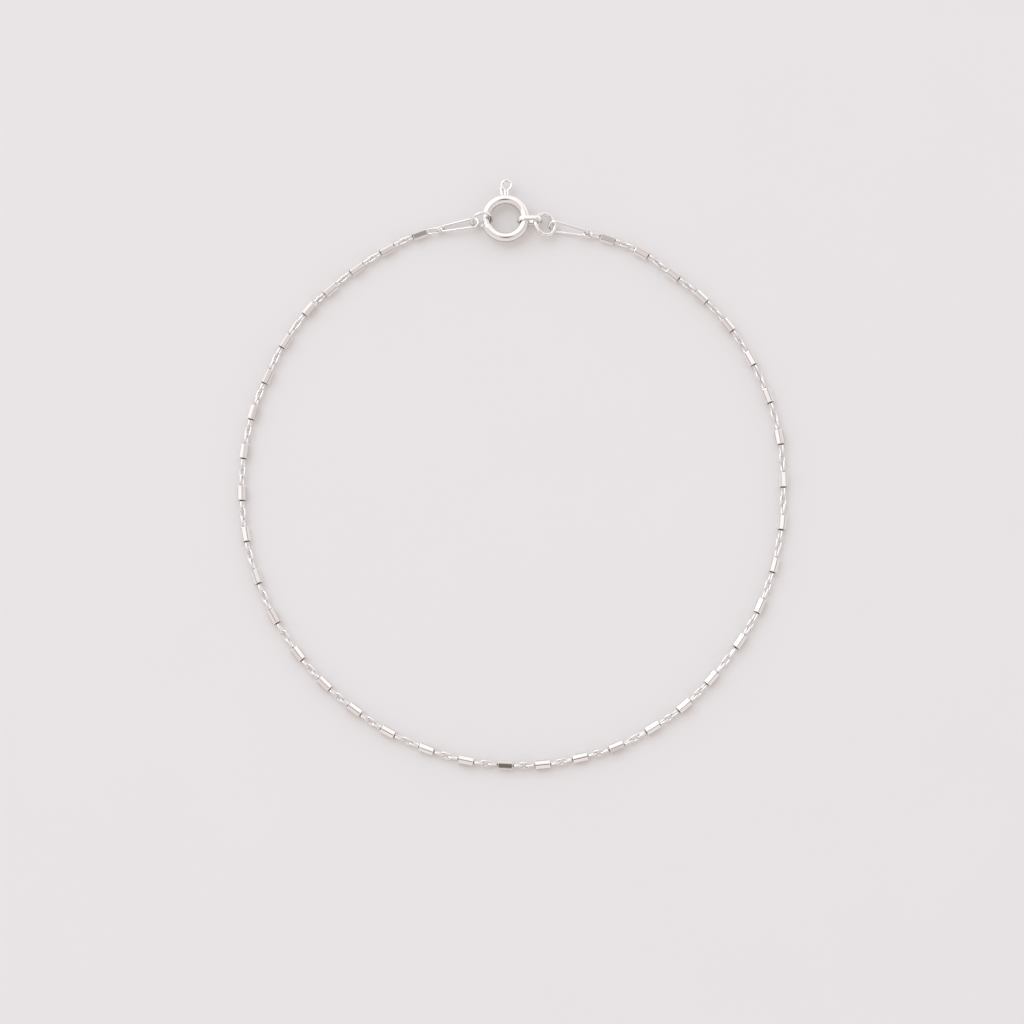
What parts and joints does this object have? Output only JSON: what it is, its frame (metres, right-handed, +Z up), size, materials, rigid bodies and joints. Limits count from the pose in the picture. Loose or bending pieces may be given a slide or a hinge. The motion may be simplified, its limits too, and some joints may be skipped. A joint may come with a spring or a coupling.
{
  "type": "chain bracelet",
  "caption": "Fine silver bar-and-link chain bracelet lying as a round loop, fastened by a small spring-ring clasp with a sliding bolt and a wire trigger",
  "frame": {"origin": "centre of the loop's bounding box, at the level of the surface that it lies on", "axes": "+Z up through the loop, +Y towards the clasp, +X to the right when the clasp is at the top"},
  "size_m": [0.0568, 0.0619, 0.0022],
  "materials": {
    "chain_silver": "bright diamond-cut silver",
    "wire_silver": "bright drawn silver wire",
    "clasp_silver": "high polish silver"
  },
  "bodies": {
    "bracelet": {"chain": "chain_silver", "end_ring_left": "wire_silver", "end_ring_right": "wire_silver", "connector_link_left": "wire_silver", "connector_link_right": "wire_silver", "jump_ring_left": "wire_silver", "jump_ring_right": "wire_silver", "clasp_body": "clasp_silver", "clasp_eye": "clasp_silver"},
    "bolt": {"clasp_bolt": "clasp_silver"}
  },
  "joints": [
    {"name": "trigger", "type": "hinge", "parent": "bracelet", "child": "bolt", "pos_m": [-0.00076, 0.0267, 0.00092], "axis": [0, 0, 1], "range_deg": [-44, 0], "stiffness_Nm_per_rad": 0.002}
  ]
}
